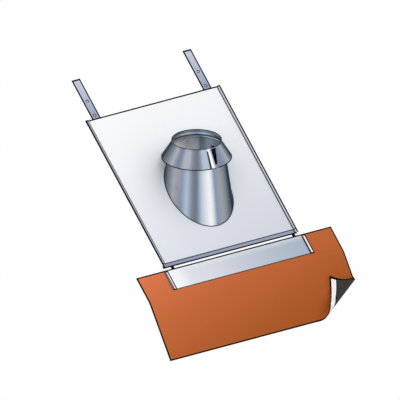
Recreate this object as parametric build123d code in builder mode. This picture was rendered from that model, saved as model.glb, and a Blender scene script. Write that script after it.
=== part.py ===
"""Tile roof flashing for a round flue, in its installed position.

The flue axis is +Z, +X runs along the eaves and +Y runs uphill. The origin is the point
where the flue axis crosses the underside of the base plate. Sizes are in millimetres.
"""
from build123d import *
from math import cos, radians, sin, tan
import os

# Roof
roof_pitch = 37.0

# Flue and the clearances between pieces
flue_diameter = 200.0
flue_clearance = 0.5
sheet_clearance = 0.3

# Base plate: one sheet, with its sides folded up and over, a hem under its top edge and
# a lip bent down at its bottom edge, which ends in a drip face and a flange turned back
# uphill
plate_width = 644.0
plate_above_flue = 403.0
plate_below_flue = 297.0
plate_sheet = 0.8
plate_bend = 0.8
side_fold_width = 13.0
side_fold_height = 5.0
top_hem_length = 22.0
lip_length = 17.2
lip_angle = 25.0
lip_face_height = 3.0
lip_flange_length = 12.0

# Cone: an oblique frustum with an inward hem at its top and a flange under the plate
cone_radius = 137.2
cone_taper = 8.4
cone_height = 176.0
cone_sheet = 0.6
cone_hem_height = 14.0
cone_hem_gap = 0.6
cone_rim_rounding = 0.4
cone_flange_width = 8.0

# Storm collar: a neck that grips the flue and a skirt that sheds water clear of the cone
collar_sheet = 0.6
collar_bend = 1.5
neck_height = 11.0
skirt_angle = 32.2
skirt_drop = 65.0

# Joint in the skirt: a tapered slot, and the sheet's edge folded back beside it
slot_edge_azimuth = -89.5
slot_top_angle = 15.5
slot_bottom_angle = 2.8
slot_below_rim = 6.5
joint_hem_angle = 9.0
joint_hem_gap = 0.6
joint_hem_inset = 1.5
joint_hem_bend_angle = 0.4

# Fixing straps, hooked into the hem under the top edge
strap_spacing = 532.0
strap_width = 40.0
strap_sheet = 1.5
strap_reach = 190.0
strap_hook_length = 16.0
strap_hole_diameter = 6.0
strap_hole_first = 16.0
strap_hole_pitch = 69.0

# Connector strip on the apron's top edge, with folded sides and two hooked tabs; it and the
# apron sit a little to the right of the plate's middle
apron_shift = 12.0
strip_width = 674.0
strip_length = 94.0
strip_sheet = 0.8
strip_bend = 0.4
strip_fold_width = 13.0
strip_fold_height = 5.0
strip_fold_start = 8.0
apron_gap = 7.7
tab_spacing = 580.0
tab_width = 14.0
tab_hook_length = 6.0

# Apron: a coloured sheet on a black backing, bent once along its width, with a release
# liner under its bottom edge
apron_width = 932.0
apron_sheet_thickness = 1.5
apron_backing_thickness = 1.5
apron_upper_length = 120.0
apron_lower_length = 250.0
apron_bend_angle = 15.3
apron_bend_radius = 70.0
liner_width = 27.0
liner_thickness = 0.3

# Curl of the apron's bottom right corner: the sheet leaves its plane along a fold line,
# rolls up and over by an arc and then runs straight to the corner's tip
curl_radius = 16.0
curl_turn = 203.0
curl_line_angle = 33.8
curl_line_distance = 126.0
curl_tip_cut = 2.0
curl_arc_steps = 28


def slope_vectors(pitch):
    """Returns the uphill direction and the outward normal of a roof surface."""
    angle = radians(pitch)
    return Vector(0, cos(angle), sin(angle)), Vector(0, -sin(angle), cos(angle))


uphill, roof_normal = slope_vectors(roof_pitch)
roof = Plane(origin=(0, 0, 0), x_dir=(1, 0, 0), z_dir=roof_normal)
side_view = Plane(origin=(0, 0, 0), x_dir=uphill, z_dir=(1, 0, 0))


def roof_section(up, across=0.0):
    """Returns the plane across the slope at a place up it and across it; it faces downhill."""
    return Plane(origin=uphill * up + Vector(across, 0, 0), x_dir=(1, 0, 0), z_dir=uphill * -1)


def meridian(azimuth):
    """Returns the half plane through the flue axis at an azimuth: x is outward, y is up."""
    angle = radians(azimuth)
    return Plane(origin=(0, 0, 0), x_dir=(cos(angle), sin(angle), 0), z_dir=(sin(angle), -cos(angle), 0))


def folded(plane, points, thickness, radius, side):
    """Draws a bent sheet's section: its outer line has these points, thickened to one side."""
    with BuildSketch(plane) as section:
        with BuildLine():
            FilletPolyline(*points, radius=radius)
            offset(amount=thickness, side=side, kind=Kind.INTERSECTION)
        make_face()
    return section.sketch


def channel_points(half_width, fold_width, fold_height, level, foot):
    """Returns the left side fold's outer line, from its free edge down to its foot."""
    return [
        (-half_width + fold_width, level + fold_height),
        (-half_width, level + fold_height),
        (-half_width, level),
        (-half_width + foot, level),
    ]


def tray_points(half_width, fold_width, fold_height, level):
    """Returns the outer line of a sheet with both sides folded up and over."""
    left = channel_points(half_width, fold_width, fold_height, level, 0)[:3]
    right = [(-x, height) for x, height in reversed(left)]
    return left + right


# Levels and places along the slope that neighbouring pieces share
plate_half = plate_width / 2
plate_outer_bend = plate_bend + plate_sheet
lip_run = lip_length * cos(radians(lip_angle))
lip_end = -plate_below_flue - lip_run
lip_nose = plate_sheet - lip_length * sin(radians(lip_angle))
lip_bottom = lip_nose - lip_face_height
lip_half = plate_half - plate_outer_bend - sheet_clearance
flange_edge = lip_end + lip_flange_length
hem_gap = strap_sheet + 2 * sheet_clearance
hem_bottom = -hem_gap - plate_sheet
cone_slope = tan(radians(cone_taper))
skirt_slope = tan(radians(skirt_angle))


def cone_radius_at(height):
    """Returns the cone's outer radius at a height above the origin."""
    return cone_radius - cone_slope * height


def frustum(inset, top, bottom):
    """Revolves the region inside the cone's outer surface, moved in by an inset."""
    with BuildSketch(Plane.XZ) as region:
        with BuildLine():
            Polyline(
                (0, bottom),
                (cone_radius_at(bottom) - inset, bottom),
                (cone_radius_at(top) - inset, top),
                (0, top),
                close=True,
            )
        make_face()
    return region.sketch


# The cone's meeting line with the plate's underside is an ellipse: its ends along the
# slope are where the cone's front and back lines cross that plane
front_reach = cone_radius / (cos(radians(roof_pitch)) - cone_slope * sin(radians(roof_pitch)))
back_reach = cone_radius / (cos(radians(roof_pitch)) + cone_slope * sin(radians(roof_pitch)))
ellipse_long = (front_reach + back_reach) / 2
ellipse_centre = (back_reach - front_reach) / 2
ellipse_height = ellipse_centre * sin(radians(roof_pitch))
ellipse_inward = ellipse_centre * cos(radians(roof_pitch))
ellipse_short = (cone_radius_at(ellipse_height) ** 2 - ellipse_inward**2) ** 0.5

# The plate's hole and the cone are cut from frusta that end below the flange's front edge
cone_bottom = -(front_reach + cone_flange_width) * sin(radians(roof_pitch))

with BuildPart() as base_plate:
    extrude(
        folded(
            roof_section(plate_above_flue),
            tray_points(plate_half, side_fold_width, side_fold_height, 0),
            plate_sheet,
            plate_outer_bend,
            Side.LEFT,
        ),
        amount=plate_above_flue + plate_below_flue,
    )
    side_fold_end = folded(
        roof_section(-plate_below_flue),
        channel_points(plate_half, side_fold_width, side_fold_height, 0, plate_half - lip_half),
        plate_sheet,
        plate_outer_bend,
        Side.LEFT,
    )
    extrude(side_fold_end, amount=lip_run)
    extrude(side_fold_end.mirror(Plane.YZ), amount=lip_run, dir=uphill * -1)
    top_hem = [
        (plate_above_flue - top_hem_length, plate_sheet),
        (plate_above_flue, plate_sheet),
        (plate_above_flue, hem_bottom),
        (plate_above_flue - top_hem_length, hem_bottom),
    ]
    extrude(
        folded(side_view, top_hem, plate_sheet, plate_outer_bend, Side.RIGHT),
        amount=plate_half - plate_outer_bend,
        both=True,
    )
    lip = [
        (-plate_below_flue + plate_outer_bend, plate_sheet),
        (-plate_below_flue, plate_sheet),
        (lip_end, lip_nose),
        (lip_end, lip_bottom),
        (flange_edge, lip_bottom),
    ]
    extrude(
        folded(side_view, lip, plate_sheet, plate_outer_bend, Side.LEFT),
        amount=lip_half,
        both=True,
    )
    revolve(frustum(-sheet_clearance, cone_height, cone_bottom), axis=Axis.Z, mode=Mode.SUBTRACT)
base_plate.part.label = "base_plate"

cone_hem_depth = 2 * cone_sheet + cone_hem_gap

with BuildPart() as cone:
    revolve(frustum(0, cone_height, cone_bottom), axis=Axis.Z)
    split(bisect_by=roof.offset(-cone_sheet), keep=Keep.TOP)
    with BuildSketch(roof):
        with Locations((0, ellipse_centre)):
            Ellipse(ellipse_short + cone_flange_width, ellipse_long + cone_flange_width)
    extrude(amount=-cone_sheet)
    revolve(
        frustum(cone_sheet, cone_height - cone_hem_height, cone_bottom),
        axis=Axis.Z,
        mode=Mode.SUBTRACT,
    )
    with BuildSketch(Plane.XZ) as hem_inside:
        with BuildLine():
            hem_low = cone_height - cone_hem_height
            hem_high = cone_height - cone_sheet
            Polyline(
                (0, hem_low),
                (cone_radius_at(hem_low) - cone_sheet, hem_low),
                (cone_radius_at(hem_high) - cone_sheet, hem_high),
                (cone_radius_at(hem_high) - cone_sheet - cone_hem_gap, hem_high),
                (cone_radius_at(hem_low) - cone_sheet - cone_hem_gap, hem_low),
                (cone_radius_at(hem_low) - cone_hem_depth, hem_low),
                (cone_radius_at(cone_height) - cone_hem_depth, cone_height),
                (0, cone_height),
                close=True,
            )
        make_face()
    revolve(axis=Axis.Z, mode=Mode.SUBTRACT)
    fillet(cone.edges().filter_by(GeomType.CIRCLE).group_by(Axis.Z)[-1], cone_rim_rounding)
cone.part.label = "cone"

# The skirt's inner face rests on the rim of the cone, a clearance away
neck_inner = flue_diameter / 2 + flue_clearance
neck_outer = neck_inner + collar_sheet
skirt_thickness_across = collar_sheet / cos(radians(skirt_angle))
rest_radius = cone_radius_at(cone_height) + sheet_clearance / cos(radians(skirt_angle))
neck_base = cone_height + (rest_radius + skirt_thickness_across - neck_outer) / skirt_slope
rim_height = neck_base + neck_height
skirt_bottom = neck_base - skirt_drop


def skirt_radius_at(height):
    """Returns the skirt's outer radius at a height above the origin."""
    return neck_outer + skirt_slope * (neck_base - height)


def slot_point(azimuth, height):
    """Returns a skirt point as seen along the slot's own azimuth: across, then up."""
    return skirt_radius_at(min(height, neck_base)) * sin(radians(azimuth - slot_edge_azimuth)), height


with BuildPart() as storm_collar:
    collar_line = [
        (neck_outer, rim_height),
        (neck_outer, neck_base),
        (skirt_radius_at(skirt_bottom), skirt_bottom),
    ]
    revolve(folded(Plane.XZ, collar_line, collar_sheet, collar_bend, Side.RIGHT), axis=Axis.Z)
    slot_top = rim_height - slot_below_rim
    slot_low = skirt_bottom - collar_sheet
    slot_side = Plane(
        origin=(0, 0, 0),
        x_dir=(-sin(radians(slot_edge_azimuth)), cos(radians(slot_edge_azimuth)), 0),
        z_dir=(cos(radians(slot_edge_azimuth)), sin(radians(slot_edge_azimuth)), 0),
    )
    with BuildSketch(slot_side):
        with BuildLine():
            Polyline(
                slot_point(slot_edge_azimuth, slot_top),
                slot_point(slot_edge_azimuth, slot_low),
                slot_point(slot_edge_azimuth + slot_bottom_angle, slot_low),
                slot_point(slot_edge_azimuth + slot_top_angle, slot_top),
                close=True,
            )
        make_face()
    extrude(amount=skirt_radius_at(skirt_bottom) + collar_sheet, mode=Mode.SUBTRACT)
    # The folded edge is a band over the skirt, and the bend that joins the two at the slot
    across_gap = joint_hem_gap / cos(radians(skirt_angle))
    band_outside = across_gap + skirt_thickness_across
    skirt_middle = -skirt_thickness_across / 2
    hem_top = neck_base - joint_hem_inset
    hem_foot = skirt_bottom + joint_hem_inset
    for arc, band_inside in ((joint_hem_angle, across_gap), (joint_hem_bend_angle, skirt_middle)):
        with BuildSketch(meridian(slot_edge_azimuth - arc)):
            with BuildLine():
                Polyline(
                    (skirt_radius_at(hem_top) + band_inside, hem_top),
                    (skirt_radius_at(hem_foot) + band_inside, hem_foot),
                    (skirt_radius_at(hem_foot) + band_outside, hem_foot),
                    (skirt_radius_at(hem_top) + band_outside, hem_top),
                    close=True,
                )
            make_face()
        revolve(axis=Axis.Z, revolution_arc=arc)
storm_collar.part.label = "storm_collar"

# Straps: the hook's upper leg lies in the plate's hem and its main leg under the hem
strap_top = hem_bottom
hook_turn = plate_above_flue - top_hem_length - sheet_clearance - strap_sheet
strap_line = [
    (hook_turn + strap_hook_length, -sheet_clearance),
    (hook_turn, -sheet_clearance),
    (hook_turn, strap_top - strap_sheet),
    (plate_above_flue + strap_reach, strap_top - strap_sheet),
]
straps = {}
for name, side in (("fixing_strap_left", -1), ("fixing_strap_right", 1)):
    with BuildPart() as strap:
        strap_plane = Plane(origin=(side * strap_spacing / 2, 0, 0), x_dir=uphill, z_dir=(1, 0, 0))
        extrude(
            folded(strap_plane, strap_line, strap_sheet, strap_sheet, Side.LEFT),
            amount=strap_width / 2,
            both=True,
        )
        with BuildSketch(roof.offset(strap_top)):
            with Locations((side * strap_spacing / 2, plate_above_flue + strap_hole_first)):
                with Locations((0, 0), (0, strap_hole_pitch)):
                    Circle(strap_hole_diameter / 2)
        extrude(amount=-strap_sheet, mode=Mode.SUBTRACT)
    strap.part.label = name
    straps[name] = strap.part

# Connector strip: its tabs run under the lip's flange and hook over the flange's edge
strip_top = lip_bottom
strip_under = strip_top - strip_sheet
strip_start = lip_end - apron_gap
strip_outer_bend = strip_bend + strip_sheet
strip_half = strip_width / 2
hook_end = flange_edge + strip_outer_bend
hook_top = lip_bottom + plate_sheet + sheet_clearance + strip_sheet

with BuildPart() as apron_strip:
    extrude(
        folded(
            roof_section(strip_start - strip_fold_start, apron_shift),
            tray_points(strip_half, strip_fold_width, strip_fold_height, strip_under),
            strip_sheet,
            strip_outer_bend,
            Side.LEFT,
        ),
        amount=strip_length - strip_fold_start,
    )
    with BuildSketch(roof.offset(strip_under)):
        with Locations((apron_shift, strip_start - strip_fold_start / 2)):
            Rectangle(strip_width, strip_fold_start)
    extrude(amount=strip_sheet)
    tab_line = [
        (strip_start - strip_fold_start, strip_under),
        (hook_end, strip_under),
        (hook_end, hook_top),
        (hook_end - tab_hook_length, hook_top),
    ]
    for side in (-1, 1):
        tab_centre = apron_shift + side * tab_spacing / 2
        tab_plane = Plane(origin=(tab_centre, 0, 0), x_dir=uphill, z_dir=(1, 0, 0))
        extrude(
            folded(tab_plane, tab_line, strip_sheet, strip_outer_bend, Side.LEFT),
            amount=tab_width / 2,
            both=True,
        )
apron_strip.part.label = "apron_strip"

# Apron: the top face of its layers follows one line down the slope, and every layer is
# that line's band between two depths below the top face
lower_downhill, lower_normal = slope_vectors(roof_pitch + apron_bend_angle)
lower_downhill = lower_downhill * -1
apron_half = apron_width / 2
apron_thickness = apron_sheet_thickness + apron_backing_thickness
bend_angle = radians(apron_bend_angle)
apron_bend_at = strip_start - apron_upper_length
apron_top_level = strip_under
apron_end = (
    apron_bend_at - apron_lower_length * cos(bend_angle),
    apron_top_level - apron_lower_length * sin(bend_angle),
)


def apron_line(depth):
    """Returns the three corners of the apron's side line at a depth below its top face."""
    return [
        (strip_start, apron_top_level - depth),
        (apron_bend_at + depth * tan(bend_angle / 2), apron_top_level - depth),
        (apron_end[0] + depth * sin(bend_angle), apron_end[1] - depth * cos(bend_angle)),
    ]


def roof_point(across, up, off):
    """Returns the point at a place given across the roof, up its slope and off its plane."""
    return Vector(across, 0, 0) + uphill * up + roof_normal * off


# Along the fold line and across it, in the plane of the apron's lower part
corner = roof_point(apron_shift + apron_half, *apron_end)
fold_tilt = radians(curl_line_angle)
fold_along = Vector(1, 0, 0) * cos(fold_tilt) - lower_downhill * sin(fold_tilt)
fold_across = Vector(1, 0, 0) * sin(fold_tilt) + lower_downhill * cos(fold_tilt)
curl_arc_length = curl_radius * radians(curl_turn)


def curl_section(travel):
    """Returns the curled sheet's section plane at a distance past the fold line.

    Its x runs along the fold line and its y away from the sheet's top face.
    """
    turn = min(travel / curl_radius, radians(curl_turn))
    straight = max(travel - curl_arc_length, 0)
    reach = curl_radius * sin(turn) + straight * cos(turn) - curl_line_distance
    rise = curl_radius * (1 - cos(turn)) + straight * sin(turn)
    outward = fold_across * sin(turn) - lower_normal * cos(turn)
    return Plane(
        origin=corner + fold_across * reach + lower_normal * rise,
        x_dir=fold_along,
        z_dir=fold_along.cross(outward),
    )


def curl_span(travel, band):
    """Returns where the sheet, or a band along its bottom edge, lies along the fold line."""
    left_over = curl_line_distance - travel
    low = -left_over / tan(fold_tilt)
    high = left_over * tan(fold_tilt)
    if band is not None:
        high = min(high, low + band / sin(fold_tilt))
    return low, high


def curl_travels(band):
    """Returns the distances past the fold line at which the curl's sections stand."""
    end = curl_line_distance - curl_tip_cut
    travels = [curl_arc_length * step / curl_arc_steps for step in range(curl_arc_steps + 1)]
    if band is not None:
        travels.append(curl_line_distance - band * cos(fold_tilt))
    travels.append(end)
    return sorted(travels)


def curled_layer(near, far, band=None):
    """Lofts the curled part of a layer that lies between two depths below the top face."""
    with BuildPart() as curl:
        for travel in curl_travels(band):
            low, high = curl_span(travel, band)
            with BuildSketch(curl_section(travel)):
                with Locations(((low + high) / 2, (near + far) / 2)):
                    Rectangle(high - low, far - near)
        loft(ruled=True)
    return curl.part


def flat_layer(near, far):
    """Makes a layer's flat and bent part, without the corner past the fold line."""
    top, under = apron_line(near), apron_line(far)
    low, high = curl_span(0, None)
    with BuildPart() as layer:
        with BuildSketch(Plane(origin=(apron_shift, 0, 0), x_dir=uphill, z_dir=(1, 0, 0))):
            with BuildLine():
                FilletPolyline(*top, radius=apron_bend_radius - near)
                FilletPolyline(*under, radius=apron_bend_radius - far)
                Line(top[0], under[0])
                Line(top[-1], under[-1])
            make_face()
        extrude(amount=apron_half, both=True)
        with BuildSketch(Plane(origin=corner, x_dir=fold_along, z_dir=lower_normal)):
            with Locations(((low + high) / 2, (curl_line_distance - apron_thickness) / 2)):
                Rectangle(high - low + 2 * apron_thickness, curl_line_distance + apron_thickness)
        extrude(amount=2 * far, both=True, mode=Mode.SUBTRACT)
    return layer.part


with BuildPart() as apron_sheet:
    add(flat_layer(0, apron_sheet_thickness))
    add(curled_layer(0, apron_sheet_thickness))
apron_sheet.part.label = "apron_sheet"

with BuildPart() as apron_backing:
    add(flat_layer(apron_sheet_thickness, apron_thickness))
    add(curled_layer(apron_sheet_thickness, apron_thickness))
apron_backing.part.label = "apron_backing"

with BuildPart() as release_liner:
    with BuildSketch(Plane(origin=corner - lower_normal * apron_thickness, x_dir=(1, 0, 0), z_dir=lower_normal)):
        with BuildLine():
            Polyline(
                (-apron_width, 0),
                (-curl_line_distance / sin(fold_tilt), 0),
                (-curl_line_distance / sin(fold_tilt) + liner_width / tan(fold_tilt), liner_width),
                (-apron_width, liner_width),
                close=True,
            )
        make_face()
    extrude(amount=-liner_thickness)
    add(curled_layer(apron_thickness, apron_thickness + liner_thickness, liner_width))
release_liner.part.label = "release_liner"

os.makedirs("parts", exist_ok=True)
for piece in (
    base_plate.part,
    cone.part,
    storm_collar.part,
    straps["fixing_strap_left"],
    straps["fixing_strap_right"],
    apron_strip.part,
    apron_sheet.part,
    apron_backing.part,
    release_liner.part,
):
    export_step(piece, f"parts/{piece.label}.step")
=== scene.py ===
"""Dresses the tile roof flashing: its sheet-metal finishes, the flexible apron and a plain studio.

Lengths are in metres and angles in degrees. The flashing stands as it is fitted: +Z is the
flue's axis, +X runs along the eaves and +Y runs uphill.
"""
import logging
from dataclasses import dataclass
from enum import Enum
from math import cos, pi, radians, sin, tan
from typing import Iterable, Optional, Sequence, Union

import bmesh
import bpy
from bpy.types import ColorRamp, Material, Mesh, Node, NodeSocket, NodeTree, Object
from mathutils import Matrix, Vector


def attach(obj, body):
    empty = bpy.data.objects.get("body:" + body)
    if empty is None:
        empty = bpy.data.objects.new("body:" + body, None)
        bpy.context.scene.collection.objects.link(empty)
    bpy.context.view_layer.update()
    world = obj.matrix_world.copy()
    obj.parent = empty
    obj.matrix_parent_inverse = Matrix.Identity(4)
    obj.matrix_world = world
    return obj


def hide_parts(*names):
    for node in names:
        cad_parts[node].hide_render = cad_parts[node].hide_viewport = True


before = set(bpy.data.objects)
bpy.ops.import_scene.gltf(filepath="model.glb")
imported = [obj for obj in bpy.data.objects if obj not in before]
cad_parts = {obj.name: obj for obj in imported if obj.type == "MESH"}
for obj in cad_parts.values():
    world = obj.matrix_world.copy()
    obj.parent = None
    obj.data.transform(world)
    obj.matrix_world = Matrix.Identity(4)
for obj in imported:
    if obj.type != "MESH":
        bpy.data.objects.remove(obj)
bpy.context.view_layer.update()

log = logging.getLogger("roof_flashing")

Colour = tuple[float, float, float, float]
Point = tuple[float, float, float]
Stops = Sequence[tuple[float, str]]


def tone(code: str) -> Colour:
    """Turns a screen colour into the linear one that nodes use.

    Args:
        code: The colour as six hexadecimal digits after a #.

    Returns:
        Red, green, blue and an alpha of 1.
    """
    parts = [int(code[start : start + 2], 16) / 255 for start in (1, 3, 5)]
    red, green, blue = (
        part / 12.92 if part <= 0.04045 else ((part + 0.055) / 1.055) ** 2.4 for part in parts
    )
    return red, green, blue, 1.0


class Wire:
    """A number socket that Python's own operators work on."""

    def __init__(self, sheet: "NodeSheet", socket: NodeSocket) -> None:
        """Keeps the socket, and the sheet that takes the nodes made from it."""
        self.sheet = sheet
        self.socket = socket

    def __add__(self, other: "Operand") -> "Wire":
        """Adds a number or another wire."""
        return self.sheet.math("ADD", self, other)

    __radd__ = __add__

    def __sub__(self, other: "Operand") -> "Wire":
        """Takes a number or another wire away."""
        return self.sheet.math("SUBTRACT", self, other)

    def __rsub__(self, other: "Operand") -> "Wire":
        """Takes this wire away from a number."""
        return self.sheet.math("SUBTRACT", other, self)

    def __mul__(self, other: "Operand") -> "Wire":
        """Multiplies by a number or another wire."""
        return self.sheet.math("MULTIPLY", self, other)

    __rmul__ = __mul__

    def __truediv__(self, other: "Operand") -> "Wire":
        """Divides by a number or another wire."""
        return self.sheet.math("DIVIDE", self, other)

    def __rtruediv__(self, other: "Operand") -> "Wire":
        """Divides a number by this wire."""
        return self.sheet.math("DIVIDE", other, self)

    def __neg__(self) -> "Wire":
        """Turns the sign round."""
        return self.sheet.math("MULTIPLY", self, -1.0)

    def __abs__(self) -> "Wire":
        """Drops the sign."""
        return self.sheet.math("ABSOLUTE", self)

    def __gt__(self, other: "Operand") -> "Wire":
        """Gives 1 where this is more than the other, and 0 elsewhere."""
        return self.sheet.math("GREATER_THAN", self, other)

    def __lt__(self, other: "Operand") -> "Wire":
        """Gives 1 where this is less than the other, and 0 elsewhere."""
        return self.sheet.math("LESS_THAN", self, other)


Operand = Union[Wire, float]


class NodeSheet:
    """A node tree that grows one node at a time."""

    def __init__(self, tree: NodeTree) -> None:
        """Takes the tree to work on."""
        self.tree = tree

    def node(
        self,
        kind: str,
        settings: Optional[dict[str, object]] = None,
        sockets: Optional[dict[Union[str, int], object]] = None,
    ) -> Node:
        """Adds a node.

        Args:
            kind: The node's type.
            settings: What is set first, such as an operation or a ramp's stops.
            sockets: A value or a link for each input, by name or number.

        Returns:
            The new node.
        """
        made = self.tree.nodes.new(kind)
        for name, value in (settings or {}).items():
            if name == "stops":
                self._fill_ramp(made.color_ramp, value)
            else:
                setattr(made, name, value)
        for name, value in (sockets or {}).items():
            source = value.socket if isinstance(value, Wire) else value
            if isinstance(source, NodeSocket):
                self.tree.links.new(source, made.inputs[name])
            else:
                made.inputs[name].default_value = source
        return made

    @staticmethod
    def _fill_ramp(ramp: ColorRamp, stops: Stops) -> None:
        """Puts the stops on a colour ramp, which always starts with two."""
        for (place, code), number in zip(stops, range(len(stops))):
            stop = ramp.elements[number] if number < 2 else ramp.elements.new(1.0)
            stop.position = place
            stop.color = tone(code)

    def math(self, operation: str, *operands: Operand) -> Wire:
        """Adds a Math node on wires or numbers, and returns its result."""
        made = self.node("ShaderNodeMath", {"operation": operation}, dict(enumerate(operands)))
        return Wire(self, made.outputs[0])

    def split(self, vector: object) -> tuple[Wire, Wire, Wire]:
        """Separates a vector socket into its three numbers."""
        made = self.node("ShaderNodeSeparateXYZ", sockets={0: vector})
        return Wire(self, made.outputs[0]), Wire(self, made.outputs[1]), Wire(self, made.outputs[2])

    def join(self, x: Operand, y: Operand, z: Operand) -> NodeSocket:
        """Combines three numbers into a vector socket."""
        return self.node("ShaderNodeCombineXYZ", sockets={0: x, 1: y, 2: z}).outputs[0]

    def step(self, value: Operand, low: float, high: float) -> Wire:
        """Returns a smooth step: 0 up to low, 1 from high on, or the other way round if low is more."""
        sockets = {"Value": value, "From Min": low, "From Max": high}
        made = self.node("ShaderNodeMapRange", {"interpolation_type": "SMOOTHSTEP"}, sockets)
        return Wire(self, made.outputs[0])


@dataclass(frozen=True)
class RoofSlope:
    """The slope that the base plate lies on."""

    pitch: float = 37.0

    @property
    def turn(self) -> float:
        """The pitch in radians."""
        return radians(self.pitch)

    def lay(self, sheet: NodeSheet, across: Operand, up: Wire, off: Wire) -> NodeSocket:
        """Joins roof coordinates into a position socket."""
        c, s = cos(self.turn), sin(self.turn)
        return sheet.join(across, up * c - off * s, up * s + off * c)


SLOPE = RoofSlope()


@dataclass(frozen=True)
class Mark:
    """A line along an edge or a bend: how far in from it the line lies, and half the line's width."""

    inset: float
    half: float


class Paint(NodeSheet):
    """A material's tree, around one shader."""

    def __init__(self, name: str) -> None:
        """Starts an empty material with its shader and output."""
        self.material = bpy.data.materials.new(name)
        self.material.use_nodes = True
        super().__init__(self.material.node_tree)
        self.tree.nodes.clear()
        self.shader = self.node("ShaderNodeBsdfPrincipled")
        self.output = self.node("ShaderNodeOutputMaterial", sockets={"Surface": self.shader.outputs[0]})
        self.coordinates = self.node("ShaderNodeTexCoord")

    def fix(self, **values: Union[float, Colour]) -> None:
        """Sets values that are the same all over on the shader's own sockets."""
        for name, value in values.items():
            self.shader.inputs[name.replace("_", " ")].default_value = value

    def feed(self, socket: str, source: Union[Wire, NodeSocket]) -> None:
        """Links a wire or a colour to a socket of the shader."""
        self.tree.links.new(source.socket if isinstance(source, Wire) else source, self.shader.inputs[socket])

    def place(self) -> tuple[Wire, Wire, Wire]:
        """Returns the surface point in the part's own axes."""
        return self.split(self.coordinates.outputs["Object"])

    def roof_place(self) -> tuple[Wire, Wire, Wire]:
        """Returns the surface point across the roof, up its slope and off its plane."""
        x, y, z = self.place()
        c, s = cos(SLOPE.turn), sin(SLOPE.turn)
        return x, y * c + z * s, z * c - y * s

    def flat_place(self) -> tuple[Wire, Wire]:
        """Returns the surface point on the piece's own flat pattern, from 0 to 1 each way."""
        u, v, _ = self.split(self.coordinates.outputs["UV"])
        return u, v

    def vectors(self, operation: str, sockets: dict[Union[str, int], object]) -> NodeSocket:
        """Adds a Vector Math node and returns its result."""
        return self.node("ShaderNodeVectorMath", {"operation": operation}, sockets).outputs[0]

    def noise(
        self, scale: float, detail: float = 2.0, stretch: Point = (1.0, 1.0, 1.0), turn: float = 0.0
    ) -> Wire:
        """Adds a noise pattern.

        Args:
            scale: How many features there are in a metre.
            detail: How many finer octaves are added.
            stretch: How much denser the pattern is along each axis.
            turn: How far the pattern is tipped about X first, in degrees.

        Returns:
            The noise, about 0.5 on average.
        """
        tipped = self.node(
            "ShaderNodeMapping",
            {"vector_type": "POINT"},
            {"Vector": self.coordinates.outputs["Object"], "Rotation": (radians(turn), 0.0, 0.0)},
        ).outputs[0]
        spread = self.vectors("MULTIPLY", {0: tipped, 1: stretch})
        made = self.node("ShaderNodeTexNoise", sockets={"Vector": spread, "Scale": scale, "Detail": detail})
        return Wire(self, made.outputs[0])

    def spangle(self, scale: float) -> Wire:
        """Adds the flat crystals of a zinc coat, each with its own brightness."""
        made = self.node(
            "ShaderNodeTexVoronoi",
            {"feature": "F1"},
            {"Vector": self.coordinates.outputs["Object"], "Scale": scale},
        )
        return Wire(self, self.node("ShaderNodeSeparateColor", sockets={0: made.outputs["Color"]}).outputs[0])

    def line(self, value: Wire, centre: float, half: float, soft: float = 0.0005) -> Wire:
        """Returns 1 within half a line's width of its centre, and 0 away from it."""
        return self.step(abs(value - centre), half + soft, half - soft)

    def mark(self, value: Wire, at: float, mark: Mark) -> Wire:
        """Returns the line that a mark makes along an edge or a bend."""
        return self.line(value, at - mark.inset, mark.half)

    def edge(self, value: Wire, at: float, width: float, soft: float = 0.0003, low: bool = False) -> Wire:
        """Finds the stretch along a piece's edge.

        Args:
            value: The place that is tested.
            at: Where the edge is.
            width: How wide the stretch is.
            soft: Half the width of its soft border.
            low: Whether the piece lies above the edge, and not below it.

        Returns:
            1 on the stretch and past the edge, and 0 further in.
        """
        way = -1.0 if low else 1.0
        return self.step(value, at - way * (width + soft), at - way * (width - soft))

    def ramp(self, value: Wire, stops: Stops) -> NodeSocket:
        """Turns a number from 0 to 1 into a colour by its stops."""
        return self.node("ShaderNodeValToRGB", {"stops": stops}, {0: value}).outputs[0]

    def blend(self, amount: Operand, low: object, high: object) -> NodeSocket:
        """Mixes two colours: low where the amount is 0 and high where it is 1."""
        return self.node("ShaderNodeMix", {"data_type": "RGBA"}, {0: amount, 6: low, 7: high}).outputs[2]

    def scaled(self, colour: NodeSocket, amount: Wire) -> NodeSocket:
        """Makes a colour lighter or darker by a factor."""
        return self.vectors("SCALE", {0: colour, "Scale": amount})

    def ink(
        self, colour: NodeSocket, code: str, lines: Iterable[tuple[Wire, float]], metal: float
    ) -> NodeSocket:
        """Paints dark lines along cut edges and bends, which stand in for their shade and dark reflections
        and take no sheen.

        Args:
            colour: The colour so far.
            code: The lines' own colour.
            lines: Each line's cover, and how strongly it is drawn.
            metal: How metallic the surface is between the lines.

        Returns:
            The colour with the lines.
        """
        cover: Operand = 0.0
        for line, depth in lines:
            cover = self.math("MAXIMUM", cover, line * depth)
        self.feed("Metallic", metal + (1.0 - metal) * cover)
        return self.blend(cover, colour, tone(code))

    def relief(self, height: Wire, strength: float, distance: float) -> None:
        """Lets a height pattern tilt the surface's normal."""
        sockets = {"Height": height, "Strength": strength, "Distance": distance}
        self.feed("Normal", self.node("ShaderNodeBump", sockets=sockets).outputs[0])


@dataclass(frozen=True)
class Finish:
    """A surface finish, which paints one material."""

    name: str

    def material(self) -> Material:
        """Makes the finish's material."""
        paint = Paint(self.name)
        self.lay(paint)
        return paint.material

    def lay(self, paint: Paint) -> None:
        """Adds the finish's nodes to a material."""
        raise NotImplementedError


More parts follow.
